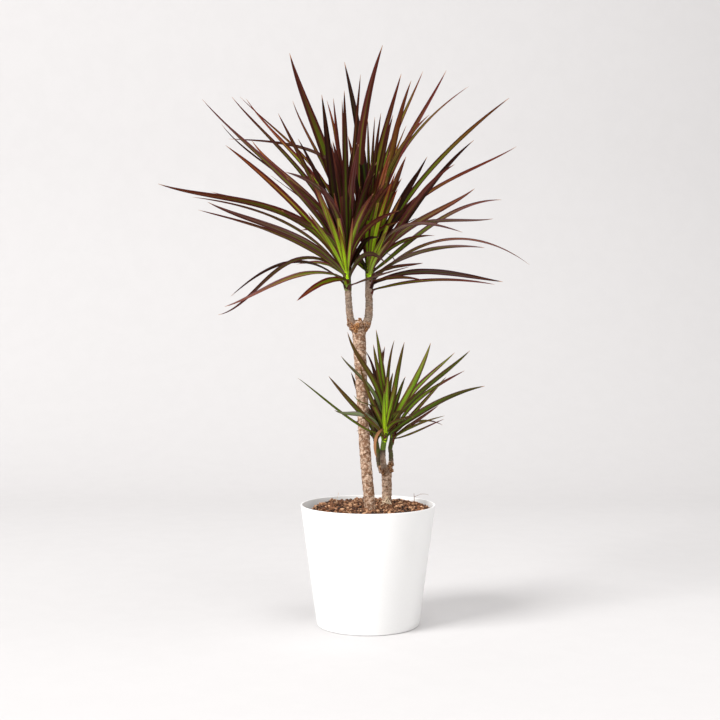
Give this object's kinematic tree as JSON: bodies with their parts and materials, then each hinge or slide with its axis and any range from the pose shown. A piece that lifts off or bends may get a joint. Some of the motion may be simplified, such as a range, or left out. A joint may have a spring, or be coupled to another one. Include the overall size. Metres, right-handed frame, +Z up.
{
  "type": "potted dracaena marginata",
  "caption": "House plant with narrow dark red-green strap leaves on two bare canes, one tall and one short, in a tapered white pot of bark soil.",
  "frame": {"origin": "centre of the cover pot's underside, on the surface that it stands on", "axes": "+Z up along the pot's axis, -Y towards the viewer of the picture, +X to the viewer's right"},
  "size_m": [0.607, 0.3499, 0.947],
  "materials": {
    "white_glaze": "smooth satin white glaze",
    "pot_plastic": "matte black nursery plastic",
    "bark_soil": "coarse coir and bark chips",
    "cane_bark": "pale tan-grey bark with leaf-scar rings and orange-brown calluses",
    "red_leaf": "glossy dark red-brown leaf with an olive-green middle",
    "green_leaf": "glossy green leaf with dark red margins",
    "dark_green_leaf": "glossy dark green leaf with dark red margins"
  },
  "bodies": {
    "root": {"cover_pot": "white_glaze", "nursery_pot": "pot_plastic", "soil": "bark_soil", "tall_cane": "cane_bark", "short_cane": "cane_bark", "upper_left_crown": "red_leaf", "upper_right_crown": "red_leaf", "lower_front_crown": "green_leaf", "lower_left_crown": "dark_green_leaf", "lower_right_crown": "green_leaf"}
  },
  "joints": []
}
